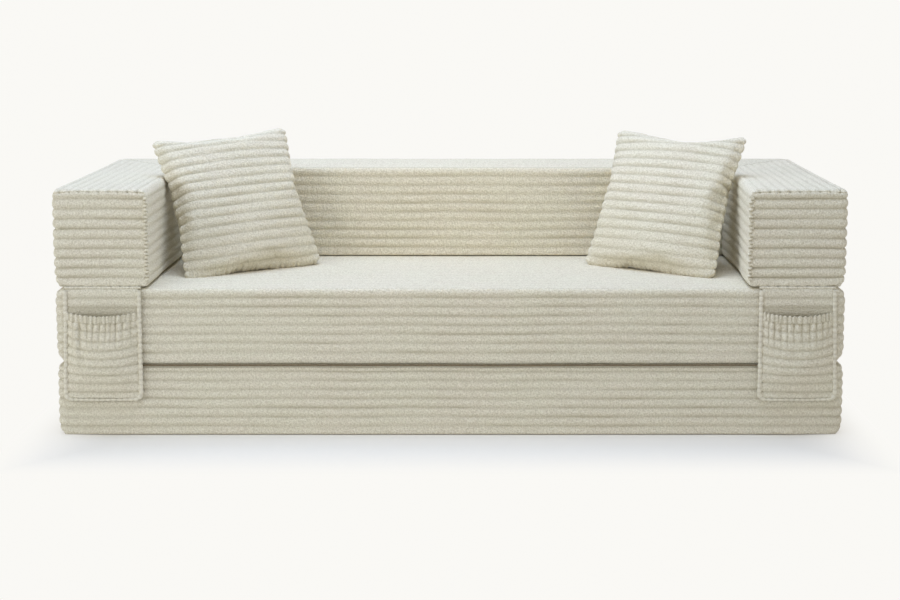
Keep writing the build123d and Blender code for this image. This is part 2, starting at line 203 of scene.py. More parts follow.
def keep_flat_place(cover):
    """Store each point's present place, as the ribs are counted on the flat cloth"""
    flat = cover.verts.layers.float_vector.new("flat")
    for point in cover.verts:
        point[flat] = point.co
    return flat


def cut_at_plane(cover, place, normal, clear=False):
    """Cut every face where it crosses a plane, and take away what lies beyond if asked to"""
    everything = cover.verts[:] + cover.edges[:] + cover.faces[:]
    bmesh.ops.bisect_plane(
        cover, geom=everything, dist=1e-5, plane_co=place, plane_no=normal, clear_outer=clear
    )


def cut_across(cover, places, way):
    """Cut every face where it crosses these places along one way"""
    normal = Vector((way == 0, way == 1, way == 2))
    for place in places:
        cut_at_plane(cover, normal * place, normal)


def held(value, low, high):
    """The value, or the nearer limit"""
    return min(max(value, low), high)


def smooth(start, end, value):
    """Rises smoothly from 0 at the start to 1 at the end"""
    share = held((value - start) / (end - start), 0, 1)
    return share * share * (3 - 2 * share)


def roll_edges(cover, low, high, reach, end_rise, underside, foot_rise):
    """Roll the top and bottom edges over, reaching this far in along each way, and farther up at the ends"""
    end_run = 0.06
    for point in cover.verts:
        share = underside if point.co.z < (low[2] + high[2]) / 2 else 1
        to_end = min(point.co.x - low[0], high[0] - point.co.x)
        rise = reach[2] + max(end_rise - reach[2], 0) * (1 - smooth(0, end_run, to_end))
        if share < 1:
            to_outer = bed_width / 2 + end_fullness - abs(point.co.x)
            rise = max(rise, foot_rise / share * (1 - smooth(0, end_run, to_outer)))
        reaches = (reach[0], reach[1] * share, rise * share)
        inner = [held(c, a + r, b - r) for c, a, b, r in zip(point.co, low, high, reaches)]
        out = [(c - i) / r for c, i, r in zip(point.co, inner, reaches)]
        level = max(abs(out[0]), abs(out[1]))
        length = hypot(level, out[2])
        if level > 1e-6 and abs(out[2]) > 1e-6:
            point.co = [i + o * r / length for i, o, r in zip(inner, out, reaches)]


def round_corners(cover, low, high, radii):
    """Round the upright corners, each by its own radius: front left, front right, back right, back left"""
    ways = [(-1, -1), (1, -1), (1, 1), (-1, 1)]
    for (side, end), radius in zip(ways, radii):
        x = (high[0] - radius) if side > 0 else (low[0] + radius)
        y = (high[1] - radius) if end > 0 else (low[1] + radius)
        for point in cover.verts:
            across = (point.co.x - x) * side
            along = (point.co.y - y) * end
            if across > 1e-6 and along > 1e-6:
                pull = max(across, along) / hypot(across, along)
                point.co.x = x + across * pull * side
                point.co.y = y + along * pull * end


def pile(phase, sharpness):
    """Height of the cloth across one rib: 0 in the seam and 1 along the crest"""
    return abs(sin(pi * phase)) ** sharpness


def wander(place, size, seed):
    """Slow unevenness, from -1 to 1, that repeats over about this size in metres"""
    return noise.noise(Vector(place) / size + Vector((seed, seed * 1.7, seed * 0.6)))


def finish_piece(mesh, name, material, body, nodes):
    """Make a shaped mesh into a smooth-shaded piece of the bed"""
    for face in mesh.faces:
        face.smooth = True
    data = bpy.data.meshes.new(name)
    mesh.to_mesh(data)
    mesh.free()
    data.materials.append(material)
    piece = bpy.data.objects.new(name, data)
    bpy.context.scene.collection.objects.link(piece)
    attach(piece, body)
    if nodes:
        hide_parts(*nodes)
    return piece


def two_tone(tree, share, dark, pale):
    """Colour that goes from dark to pale as the share rises from 0 to 1"""
    return add_node(tree, "Mix", {0: share, 6: dark, 7: pale}, data_type="RGBA").outputs[2]


def add_relief(tree, surface, height, strength, distance):
    """Let a pattern stand out from the surface by up to this distance"""
    relief = add_node(tree, "Bump", {"Height": height, "Strength": strength, "Distance": distance})
    tree.links.new(relief.outputs[0], surface.inputs["Normal"])


def ribbed_cloth(name, nub, gap_paleness):
    """Chenille pile: pale tufts with darker gaps between them, slow shifts of hue, and painted olive-brown
    shade in the rib seams and other places that the mesh marks as shaded
    """
    cloth, tree, surface, place = new_finish(name, 0.95)
    tufts = add_node(tree, "TexNoise", {"Vector": place, "Scale": 1 / nub, "Detail": 2.0, "Roughness": 0.7})
    nubs = add_node(tree, "TexVoronoi", {"Vector": place, "Scale": 1 / nub}, feature="SMOOTH_F1")
    patches = add_node(tree, "TexNoise", {"Vector": place, "Scale": 9.0, "Detail": 2.0})
    seam = add_node(tree, "Attribute", attribute_name="groove").outputs["Fac"]
    gaps = add_node(tree, "MapRange", {"Value": tufts.outputs[0], 1: 0.36, 2: 0.62, 3: gap_paleness, 4: 1.0})
    patch_share = add_node(tree, "MapRange", {"Value": patches.outputs[0], 1: 0.4, 2: 0.6, 3: 0.0, 4: 1.0})
    speckle = two_tone(tree, gaps.outputs[0], chenille_shade, chenille_lit)
    hue = two_tone(tree, patch_share.outputs[0], chenille_pale, chenille_pink)
    # Painted shade: where the mesh marks it, the cloth darkens toward an olive brown.
    seam_share = add_node(tree, "Math", {0: seam, 1: 0.62}, operation="MULTIPLY")
    dusky = two_tone(tree, seam_share.outputs[0], two_tone(tree, 0.42, speckle, hue), painted_shade_colour)
    tree.links.new(dusky, surface.inputs["Base Color"])
    heights = {0: nubs.outputs["Distance"], 1: -0.8, 2: tufts.outputs[0]}
    height = add_node(tree, "Math", heights, operation="MULTIPLY_ADD")
    add_relief(tree, surface, height.outputs[0], 0.8, 0.0026)
    surface.inputs["Specular IOR Level"].default_value = 0.12
    surface.inputs["Sheen Weight"].default_value = 0.15
    surface.inputs["Sheen Roughness"].default_value = 0.55
    return cloth


chenille = ribbed_cloth("ribbed chenille", 0.0042, 0.0)


def rib_seam(phase, count, sharpness=0.6):
    """How deep in the seam between two ribs a point lies, from 0 to 1; the first and last edge have none"""
    inside = smooth(0.25, 0.6, phase) * smooth(0.25, 0.6, count - phase)
    return (1 - pile(phase, sharpness)) * inside


def press_ribs(cover, low, high, top_way, counts, depths, seed, sway, seam_drop=0, calm=None):
    """Press the seams between the ribs into a cover, paint shade into them, and let the cloth lie a little
    unevenly

    Counts and depths are those of the ribs up the sides and across the top. With a seam drop the top's
    ribs reach that far down the front, with painted shade where the seams between them end, and the face
    that looks toward calm has flatter ribs with less painted shade.
    """
    flat = cover.verts.layers.float_vector["flat"]
    groove = cover.verts.layers.float.new("groove")
    side_depth, top_depth = depths
    pinch_depth, pinch_width = 0.0014, 0.0022
    dash_depth, dash_width, dash_shift = 0.0030, 0.005, 0.002
    cover.normal_update()
    for point in cover.verts:
        place = point[flat]
        normal = point.normal.copy()
        drift = sway * wander((place.x / 2.5, place.y / 2.5, place.z), cloth_drift, seed + 9)
        rise = (place.z - low[2]) / (high[2] - low[2]) * counts[0]
        along = (place[top_way] - low[top_way]) / (high[top_way] - low[top_way]) * counts[1]
        at_end = min(place.y - low[1], high[1] - place.y) < touching
        seam_gap = place.z - (high[2] - seam_drop)
        on_top = smooth(0.62, 0.8, abs(normal.z))
        if seam_drop and at_end:
            on_top = max(on_top, smooth(-0.001, 0.001, seam_gap))
        above = 1 if normal.z > 0 or on_top < 1 else 0
        side = rib_seam(rise + drift, counts[0])
        top = rib_seam(along, counts[1]) * above
        slack = 0.5 + 0.5 * wander(place, cloth_drift, seed)
        seam_strength = 0.8 + 0.5 * wander((place.x / 3, place.y / 3, place.z * 2), 0.07, seed + 3)
        near_end = smooth(0.07, 0.0, min(place.x - low[0], high[0] - place.x))
        depth = side * side_depth * (1 + 0.25 * near_end) * (1 - on_top) + top * top_depth * on_top
        shade = side * (1 - on_top) + top * on_top * min(top_depth / side_depth, 1)
        if seam_drop and at_end:
            pinch = exp(-((seam_gap / pinch_width) ** 2))
            dash = rib_seam(along, counts[1], 1.0) ** 2
            depth += pinch_depth * pinch + dash_depth * dash * exp(-((seam_gap / dash_width) ** 2))
            dash_shade = 1.6 * dash * exp(-(((seam_gap - dash_shift) / dash_width) ** 2))
            shade = max(shade, dash_shade, 0.25 * pinch)
        if calm:
            flatter = 1 - 0.62 * smooth(0.45, 0.9, normal.dot(calm))
            depth, shade = depth * flatter, shade * flatter
        # Painted shade in the seams between the ribs, stronger or weaker along them at random.
        point[groove] = shade * seam_strength
        point.co -= normal * (depth * seam_strength + cloth_slack * slack * (1 - 0.6 * on_top))
        if on_top < 0.5:
            point.co.z += cloth_rise * wander(place, 0.16, seed + 5) * (1 - on_top)


def crease_wave(x):
    """How far the fold line between the layers sags and waves along the front"""
    from_end = smooth(0, crease_end_run, bed_width / 2 - abs(x))
    return (crease_ripple * wander((x, 0, 0), ripple_length, 50.0) - crease_sag) * from_end


def press_zip(cover, level, left, right, back):
    """Draw the cloth in beside the zip, so that the zip lies in a shallow slot"""
    half_width, end_run, slot_depth = 0.0135, 0.008, 0.0058
    flat = cover.verts.layers.float_vector["flat"]
    for point in cover.verts:
        place = point[flat]
        if place.y > back - touching:
            across = 1 - smooth(half_width, half_width + 0.004, abs(place.z - level))
            along = smooth(left - end_run, left, place.x) * (1 - smooth(right, right + end_run, place.x))
            point.co.y = min(point.co.y, back - slot_depth * across * along)


def open_bottom(cover, bottom, left, right, front, back):
    """Raise the underside inside these lines, where its own panel is sewn in"""
    lift = 0.009
    flat = cover.verts.layers.float_vector["flat"]
    for point in cover.verts:
        place = point[flat]
        if place.z < bottom + touching and left < place.x < right and front < place.y < back:
            point.co.z = bottom + lift


def use_everywhere(node, material):
    """Give a CAD node its finish"""
    for material_slot in bpy.data.objects[node].material_slots:
        material_slot.material = material


def fine_weave(name, pale, dark, thread, bump):
    """Plain weave of fine threads, over and under, with slubs in them"""
    weave, tree, surface, place = new_finish(name, 0.85)
    threads = {"Vector": place, "Scale": 0.16 / thread, "Distortion": 0.6, "Detail": 1.0}
    warp = add_node(tree, "TexWave", threads, bands_direction="X")
    weft = add_node(tree, "TexWave", threads, bands_direction="DIAGONAL")
    slubs = add_node(tree, "TexNoise", {"Vector": place, "Scale": 0.2 / thread, "Detail": 2.0})
    crossed = add_node(tree, "Math", {0: warp.outputs[1], 1: weft.outputs[1]}, operation="MULTIPLY")
    uneven = add_node(tree, "Math", {0: crossed.outputs[0], 1: slubs.outputs[0]}, operation="ADD")
    share = add_node(tree, "MapRange", {"Value": uneven.outputs[0], 1: 0.4, 2: 1.2, 3: 0.0, 4: 1.0})
    tree.links.new(two_tone(tree, share.outputs[0], dark, pale), surface.inputs["Base Color"])
    add_relief(tree, surface, uneven.outputs[0], 0.6, bump)
    surface.inputs["Specular IOR Level"].default_value = 0.2
    return weave


lining = fine_weave("woven underside", (0.78, 0.72, 0.58, 1), (0.58, 0.52, 0.40, 1), 0.0016, 0.0006)

foam, foam_tree, foam_surface, foam_place = new_finish("open-cell foam", 0.9)
cells = add_node(foam_tree, "TexVoronoi", {"Vector": foam_place, "Scale": 900.0}, feature="DISTANCE_TO_EDGE")
aged = add_node(foam_tree, "TexNoise", {"Vector": foam_place, "Scale": 6.0, "Detail": 3.0})
foam_tone = two_tone(foam_tree, aged.outputs[0], (0.80, 0.74, 0.55, 1), (0.90, 0.86, 0.72, 1))
foam_tree.links.new(foam_tone, foam_surface.inputs["Base Color"])
add_relief(foam_tree, foam_surface, cells.outputs[0], 0.7, 0.0006)


def round_edges(mesh, radius, segments, clamped=False):
    """Round all edges of a mesh"""
    bmesh.ops.bevel(
        mesh,
        geom=mesh.edges[:],
        offset=radius,
        affect="EDGES",
        segments=segments,
        profile=0.5,
        material=-1,
        clamp_overlap=clamped,
    )


def soft_slab(node, name, material, body, edge, mitres=()):
    """Slab with soft edges in the place of a CAD solid, cut at the mitres it has"""
    low, high = [Vector(corner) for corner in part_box(node)]
    slab = bmesh.new()
    bmesh.ops.create_cube(slab, size=1)
    bmesh.ops.scale(slab, vec=high - low, verts=slab.verts)
    bmesh.ops.translate(slab, vec=(low + high) / 2, verts=slab.verts)
    for corner, normal in mitres:
        cut_mitre(slab, corner, normal)
    round_edges(slab, edge, 2, True)
    return finish_piece(slab, name, material, body, [node])


def cut_mitre(cover, corner, normal):
    """Cut a cover off at an upright plane and close the cut"""
    cut_at_plane(cover, corner, normal, True)
    rim = [e for e in cover.edges if e.is_boundary]
    bmesh.ops.contextual_create(cover, geom=rim)


def sew_top_seam(cover, low, high, seam_shade_strength):
    """Draw the top in along the seam that runs beside its front edge, and paint shade along the seam, as
    strong as asked
    """
    flat, groove = cover.verts.layers.float_vector["flat"], cover.verts.layers.float["groove"]
    for point in cover.verts:
        if point[flat].z > high[2] - touching:
            nearness = exp(-(((point[flat].y - low[1] - top_seam_inset) / top_seam_width) ** 2))
            point.co.z -= top_seam_depth * nearness
            point[groove] += seam_shade_strength * nearness


zip_left = -0.925
zip_right = 0.925
zip_rise = 0.038
panel_margin = 0.0255
margins = (panel_margin, panel_margin - 0.001)
foam_edge = 0.006
panel_edge = 0.0012
layer_reach = (0.020, 0.012, 0.013)
layer_end_rise = 0.037
layer_rib_depth = 0.0040

for name, body, bottom, underside, foot_rise, top_depth in (
    ("base", "base", 0.0, 0.35, 0.032, 0.0004),
    ("seat", "root", seat_bottom, 0.99, 0.037, 0.0018),
):
    low = (-bed_width / 2 - end_fullness, -bed_depth / 2, bottom)
    high = (bed_width / 2 + end_fullness, bed_depth / 2, bottom + layer_height)
    cover = padded_box(low, high, (length_cells, seat_ribs * rib_cells, layer_ribs * rib_cells))
    for way in (0, 1):
        cut_across(cover, [side * (high[way] - margin) for side in (-1, 1) for margin in margins], way)
    flat = keep_flat_place(cover)
    roll_edges(cover, low, high, layer_reach, layer_end_rise, underside, foot_rise)
    round_corners(cover, low, high, (corner_radius,) * 4)
    press_ribs(cover, low, high, 1, (layer_ribs, seat_ribs), (layer_rib_depth, top_depth), 3.0 + bottom, 0.14)
    press_zip(cover, bottom + zip_rise, zip_left, zip_right, high[1])
    for point in cover.verts:
        place = point[flat]
        share = 1 - smooth(0, crease_reach, abs(place.z - crease_level))
        share *= 1 - smooth(0, crease_inward, place.y + bed_depth / 2)
        point.co.z += crease_wave(place.x) * share
    if name == "seat":
        sew_top_seam(cover, low, high, 0.45)
    else:
        groove = cover.verts.layers.float["groove"]
        for point in cover.verts:
            place = point[flat]
            # Painted shadow: a tan band along the base's front just under the crease.
            under_crease_shade = smooth(crease_shade_reach, 0.3 * crease_shade_reach, crease_level - place.z)
            point[groove] += 1.1 * under_crease_shade * (place.y < crease_shade_reach - bed_depth / 2)
            point.co.z += floor_clearance * (1 - smooth(0, clearance_run, place.z))
    edge_x, edge_y = [high[way] - panel_margin + touching for way in (0, 1)]
    open_bottom(cover, bottom, -edge_x, edge_x, -edge_y, edge_y)
    layer = finish_piece(cover, f"{name}_chenille_cover", chenille, body, [f"{name}_cover"])
    core = soft_slab(f"{name}_foam", f"{name}_foam_slab", foam, body, foam_edge)
    soft_slab(f"{name}_bottom_panel", f"{name}_woven_underside", lining, body, panel_edge)

# Zips: each cover opens along its back with a nylon coil zip, a woven tape with a coil sewn down its
# middle, and a cast metal slider that is parked at the right-hand end.
zip_tape = fine_weave("zip tape", (0.83, 0.80, 0.70, 1), (0.66, 0.62, 0.50, 1), 0.0007, 0.0003)

coil, coil_tree, coil_surface, coil_place = new_finish("nylon coil", 0.35)
coil_shade = add_node(coil_tree, "TexNoise", {"Vector": coil_place, "Scale": 240.0, "Detail": 2.0})
coil_tone = two_tone(coil_tree, coil_shade.outputs[0], (0.70, 0.67, 0.57, 1), (0.86, 0.84, 0.76, 1))
coil_tree.links.new(coil_tone, coil_surface.inputs["Base Color"])

cast_metal, metal_tree, metal_surface, metal_place = new_finish("cast zinc", 0.3)
worn_spots = add_node(metal_tree, "TexNoise", {"Vector": metal_place, "Scale": 420.0, "Detail": 4.0})
metal_tone = two_tone(metal_tree, worn_spots.outputs[0], (0.52, 0.50, 0.46, 1), (0.74, 0.72, 0.68, 1))
metal_tree.links.new(metal_tone, metal_surface.inputs["Base Color"])
polish_span = {"Value": worn_spots.outputs[0], 1: 0.3, 2: 0.7, 3: 0.22, 4: 0.42}
metal_polish = add_node(metal_tree, "MapRange", polish_span)
metal_tree.links.new(metal_polish.outputs[0], metal_surface.inputs["Roughness"])
metal_surface.inputs["Metallic"].default_value = 1.0


def coil_row(name, body, start, step, count, size):
    """Row of nylon loops: one small rounded loop, repeated along the tape"""
    loop = bmesh.new()
    bmesh.ops.create_cube(loop, size=1)
    bmesh.ops.scale(loop, vec=size, verts=loop.verts)
    bmesh.ops.translate(loop, vec=start, verts=loop.verts)
    round_edges(loop, min(size) * 0.3, 1)
    row = finish_piece(loop, name, coil, body, [])
    array = row.modifiers.new("loops", "ARRAY")
    array.count = count
    array.use_relative_offset = False
    array.use_constant_offset = True
    array.constant_offset_displace = step


coil_pitch = 0.0025
coil_height = 0.0016
coil_width = 0.005
loop_share = 0.8
zip_tape_unevenness = 0.0003
for name, body in (("base", "base"), ("seat", "root"), ("back", "surround")):
    low, high = [Vector(corner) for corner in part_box(f"{name}_zip")]
    tape = padded_box(low, (high.x, high.y - coil_height, high.z), (60, 1, 6))
    for point in tape.verts:
        point.co.y += zip_tape_unevenness * wander(point.co, 0.02, 61.0)
    finish_piece(tape, f"{name}_zip_tape", zip_tape, body, [f"{name}_zip"])
    middle = Vector((low.x + coil_pitch / 2, high.y - coil_height / 2, (low.z + high.z) / 2))
    loops = int((high.x - low.x) / coil_pitch)
    loop_size = (coil_pitch * loop_share, coil_height, coil_width)
    coil_row(f"{name}_zip_coil", body, middle, (coil_pitch, 0, 0), loops, loop_size)
    use_everywhere(f"{name}_zip_slider", cast_metal)

# Crease: the two layers are joined along the front by a piping with a woven tape on each side of
# it, sewn under the seat's front edge and on the base's, so that the base can fold out. The piping is
# coloured dark brown as painted shade, standing in for the shadow deep in the crease.
piping_painted_shade = fine_weave("piping painted as crease shade", (0.27, 0.21, 0.13, 1), (0.14, 0.105, 0.06, 1), 0.0008, 0.0003)
tape_weave = fine_weave("woven tape", (0.74, 0.70, 0.59, 1), (0.54, 0.50, 0.39, 1), 0.0010, 0.0004)
piping_radius = 0.0018
crease_tuck = 0.006
tape_unevenness = 0.0001
crease_low, crease_high = [Vector(corner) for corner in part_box("crease_seam")]


def strip(length, width, thickness, cells):
    """Flat strip with rounded edges, lying along X with its width along Z"""
    band = padded_box((0, -thickness / 2, -width / 2), (length, thickness / 2, width / 2), cells)
    keep_flat_place(band)
    band.verts.layers.float.new("groove")
    for point in band.verts:
        y, z = point.co.y / (thickness / 2), point.co.z / (width / 2)
        size = hypot(y, z)
        if size > 1e-6:
            pull = max(abs(y), abs(z)) / size
            point.co.y, point.co.z = y * pull * thickness / 2, z * pull * width / 2
    return band


def laid_tape(node, name, body, material, cells, tucked_in):
    """Woven tape lying where its CAD solid lies, not quite even, its front edge this far under the cover"""
    low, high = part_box(node)
    tape = padded_box(low, high, cells)
    for point in tape.verts:
        point.co.z += tape_unevenness * wander(point.co, 0.03, 67.0)
        point.co.y = max(point.co.y, -bed_depth / 2 + tucked_in)
    finish_piece(tape, name, material, body, [node])


piping = strip(crease_high.x - crease_low.x, 2 * piping_radius, 2 * piping_radius, (160, 3, 3))
for point in piping.verts:
    x = crease_low.x + point.co.x
    point.co = (x, crease_low.y + piping_radius + point.co.y, crease_level + crease_wave(x) + point.co.z)
finish_piece(piping, "crease_piping", piping_painted_shade, "root", [])
laid_tape("crease_seam", "seat_crease_tape", "root", tape_weave, (80, 6, 1), crease_tuck)
laid_tape("base_crease_tape", "base_hinge_tape", "base", tape_weave, (80, 6, 1), crease_tuck)

# Hook-and-loop strips: woven strips sewn on the seat's top, with nylon hooks, and under the arms and the
# backrest, with a felt of loops, so that the surround can be pulled off.
for node, pale, dark, size in (
    ("surround_hook_strips", (0.80, 0.78, 0.70, 1), (0.60, 0.57, 0.48, 1), 0.0012),
    ("surround_loop_strips", (0.86, 0.84, 0.76, 1), (0.68, 0.65, 0.56, 1), 0.0020),
):
    use_everywhere(node, fine_weave(node.replace("_", " "), pale, dark, size, size / 2))

# Surround: a backrest and two arms of the same foam, mitred together at the back corners. Their ribs run
# level round the sides and along the top of each. On the arms' fronts the top's ribs end in a row of small
# bumps at the seam, and a chain of stitches draws the front in along its inner edge.
surround_bottom = 0.388
surround_height = 0.252
arm_inner = 0.775
back_front = 0.140
top_seam_drop = 0.007
surround_ribs = 10
arm_cells = 72
surround_reach = (0.018, 0.010, 0.014)
surround_end_rise = 0.026
surround_underside = 0.45
surround_foot_rise = 0.048
outer_corner_radius = 0.020
inner_corner_radius = 0.008
seam_tuck = 0.0026
seam_tuck_width = 0.007
tuck_cuts = (0.003, 0.008, 0.016)
tuck_start = -0.02
tuck_end = 0.03
seam_step = 0.002
back_rib_depths = (0.0036, 0.0022)
arm_rib_depths = (0.0062, 0.0030)
top_crown = 0.002
rear_crown = 0.006
bow_start = 0.26
bow_end = 0.04
foam_set_back = 0.008
panel_set_back = 0.026
block_edge = 0.005
front_fullness = {"back": 0, "arm_left": 0.003, "arm_right": -0.011}


def tuck_mitre(cover, corner, normal):
    """Cut the cloth finely enough along a mitre that it can follow the seam"""
    for gap in tuck_cuts:
        cut_at_plane(cover, corner - normal * gap, normal)


outer = bed_width / 2 + end_fullness
across_cells = surround_ribs * rib_cells
surround_parts = {
    "back": ((-outer, back_front), (outer, bed_depth / 2), 1, (length_cells, across_cells)),
    "arm_left": ((-outer, -bed_depth / 2), (-arm_inner, bed_depth / 2), 0, (across_cells, arm_cells)),
    "arm_right": ((arm_inner, -bed_depth / 2), (outer, bed_depth / 2), 0, (across_cells, arm_cells)),
}
for name, (near, far, top_way, cells) in surround_parts.items():
    low = (*near, surround_bottom)
    high = (*far, surround_bottom + surround_height)
    cover = padded_box(low, high, (*cells, across_cells))
    mitres = []
    for side in (-1, 1):
        if name == "back" or name.endswith("left" if side < 0 else "right"):
            normal = Vector((side, -1, 0)).normalized() * (1 if name == "back" else -1)
            mitres.append((Vector((side * arm_inner, back_front, 0)) - normal * touching, normal))
    for corner, normal in mitres:
        tuck_mitre(cover, corner, normal)
    for way in (0, 1):
        cut_across(cover, [low[way] + m for m in margins] + [high[way] - m for m in margins], way)
    if name != "back":
        cut_across(cover, [high[2] - top_seam_drop + step for step in (-seam_step, 0.0, seam_step)], 2)
    flat = keep_flat_place(cover)
    roll_edges(
        cover, low, high, surround_reach, surround_end_rise, surround_underside, surround_foot_rise
    )
    corners = {
        "back": (corner_radius, corner_radius),
        "arm_left": (outer_corner_radius, inner_corner_radius),
        "arm_right": (inner_corner_radius, outer_corner_radius),
    }[name]
    round_corners(cover, low, high, (*corners, corner_radius, corner_radius))
    seed = {"back": 11.0, "arm_left": 17.0, "arm_right": 23.0}[name]
    depths = back_rib_depths if name == "back" else arm_rib_depths
    sway, drop = (0.12, 0) if name == "back" else (0.05, top_seam_drop)
    seat_ward = None if name == "back" else Vector((-1 if name == "arm_right" else 1, 0, 0))
    press_ribs(cover, low, high, top_way, (surround_ribs,) * 2, depths, seed, sway, drop, seat_ward)
    if name == "back":
        press_zip(cover, surround_bottom + zip_rise, zip_left, zip_right, high[1])
        sew_top_seam(cover, low, high, 0.8)
    cover.normal_update()
    for point in cover.verts:
        place = point[flat]
        toward_back = (place.y + bed_depth / 2) / bed_depth
        rise = held((place.z - low[2]) / surround_height, 0, 1)
        point.co.z += (top_crown + rear_crown * toward_back**2) * rise**2
        outer_side = low[0] if name == "arm_left" else high[0]
        to_seat = held(abs(place.x - outer_side) / (high[0] - low[0]), 0, 1)
        point.co.x += front_fullness[name] * to_seat * smooth(bow_start, bow_end, place.y + bed_depth / 2)
    for corner, normal in mitres:
        for point in cover.verts:
            gap = (corner - point[flat]).dot(normal)
            if tuck_start < gap < tuck_end:
                point.co -= point.normal * seam_tuck * exp(-((gap / seam_tuck_width) ** 2))
    inset = panel_margin - touching
    open_bottom(cover, low[2], low[0] + inset, high[0] - inset, low[1] + inset, high[1] - inset)
    for corner, normal in mitres:
        cut_mitre(cover, corner, normal)
    body = "surround"
    part = finish_piece(cover, f"{name}_chenille_cover", chenille, body, [f"{name}_cover"])
    foam_cuts = [(corner - normal * foam_set_back, normal) for corner, normal in mitres]
    core = soft_slab(f"{name}_foam", f"{name}_foam_block", foam, body, block_edge, foam_cuts)
    panel_cuts = [(corner - normal * panel_set_back, normal) for corner, normal in mitres]
    panel, underside = f"{name}_bottom_panel", f"{name}_woven_underside"
    soft_slab(panel, underside, lining, body, panel_edge, panel_cuts)

chain_pitch = 0.0095
chain_width = 0.0115
chain_thickness = 0.0085
chain_off_foot = 0.016
chain_off_top = 0.018
chain_off_edge = 0.0046
chain_set_back = 0.0028
chain_zigzag = 0.0022
for side, name in ((-1, "left"), (1, "right")):
    length = surround_height - chain_off_foot - chain_off_top
    chain = strip(length, chain_width, chain_thickness, (160, 4, 4))
    groove = chain.verts.layers.float["groove"]
    middle = side * (arm_inner + chain_off_edge) + front_fullness[f"arm_{name}"]
    for point in chain.verts:
        distance = point.co.x
        bump = pile(distance / chain_pitch, 0.5)
        zigzag = chain_zigzag * sin(pi * distance / chain_pitch + side)
        # Painted shade in the hollows between the chain's bumps.
        point[groove] = 2.2 * (1 - bump)
        point.co = (
            middle + point.co.z * (0.4 + 0.6 * bump) + zigzag,
            -bed_depth / 2 + chain_set_back + point.co.y * (0.3 + 0.8 * bump),
            surround_bottom + chain_off_foot + distance,
        )
    bmesh.ops.recalc_face_normals(chain, faces=chain.faces)
    finish_piece(chain, f"arm_{name}_front_seam", chenille, "surround", [])

# Hanging pockets: a ribbed panel hangs from a rolled hem between arm and seat, and a pouch of the same cloth
# is gathered on elastic at its mouth. One bulky and paler binding, drawn in by its stitches, goes round
# both, and a woven tape behind the hem anchors the pocket flat between arm and seat.
binding_cloth = ribbed_cloth("binding chenille", 0.0036, 0.6)

rubber, rubber_tree, braid, braid_place = new_finish("braided elastic", 0.7)
cords = add_node(rubber_tree, "TexWave", {"Vector": braid_place, "Scale": 260.0, "Distortion": 1.5})
braid_tone = two_tone(rubber_tree, cords.outputs[1], (0.72, 0.70, 0.62, 1), (0.84, 0.83, 0.77, 1))
rubber_tree.links.new(braid_tone, braid.inputs["Base Color"])
add_relief(rubber_tree, braid, cords.outputs[1], 0.5, 0.0005)

pocket_middle = 0.891
panel_half = 0.089
panel_low = 0.101
panel_thickness = 0.004
panel_hang = 0.003
side_allowance = 0.002
panel_rib_depth = 0.0016
panel_unevenness = 0.0006
shadow_top = 0.352
shadow_foot = 0.322
outward_slant = 0.007
hem_level = 0.386
panel_front = -0.3868
panel_back = -0.3828
rib_pitch = 0.0245
pouch_rise = 0.215
pouch_bulge = 0.0235
pouch_wall = 0.0022
pouch_off_panel = 0.0008
pouch_slack = 0.0022
pouch_sag = 0.0058
pouch_drape = 0.013
gathers_across = 11
gather_depth = 0.0046
pouch_rib_depth = 0.0032
mouth_curve = 0.008
mouth_curl = 0.0016
mouth_pinch = 0.0024
mouth_scallop = 0.0028
scallop_rise = 0.0050
elastic_width = 0.008
elastic_thickness = 0.001
elastic_span = 1.86
elastic_level = 0.955
elastic_gap = 0.0012
binding_radius = 0.017
binding_width = 0.0105
binding_thickness = 0.0085
binding_bead = 0.0135
binding_outset = 0.005
binding_off_top = 0.004
binding_off_panel = 0.0002
binding_sway = 0.0008
hem_size = 0.0075
hem_overhang = 0.009
hem_bead = 0.012
hem_rise = 0.0012
hem_turn = 0.0022
hem_turn_run = 0.006
hem_front = -0.3805
anchor_tuck = 0.0048


def round_the_panel(distance, half, high, low, radius):
    """Place and heading along a path down one side, round the two lower corners and up the other side"""
    side_run, turn, foot_run = high - low - radius, radius * pi / 2, 2 * (half - radius)
    if distance < side_run:
        return -half, high - distance, -pi / 2
    distance -= side_run
    if distance < turn:
        angle = distance / radius
        return -half + radius * (1 - cos(angle)), low + radius * (1 - sin(angle)), angle - pi / 2
    distance -= turn
    if distance < foot_run:
        return -half + radius + distance, low, 0
    distance -= foot_run
    if distance < turn:
        angle = distance / radius
        return half - radius + radius * sin(angle), low + radius * (1 - cos(angle)), angle
    return half, low + radius + distance - turn, pi / 2


def lean_out(across, height):
    """How far the pocket's outer side (across = 1) slants outward toward its foot"""
    fallen = (hem_level - height) / (hem_level - panel_low)
    return outward_slant * held((1 + across) / 2, 0, 1) * held(fallen, 0, 1) ** 1.5


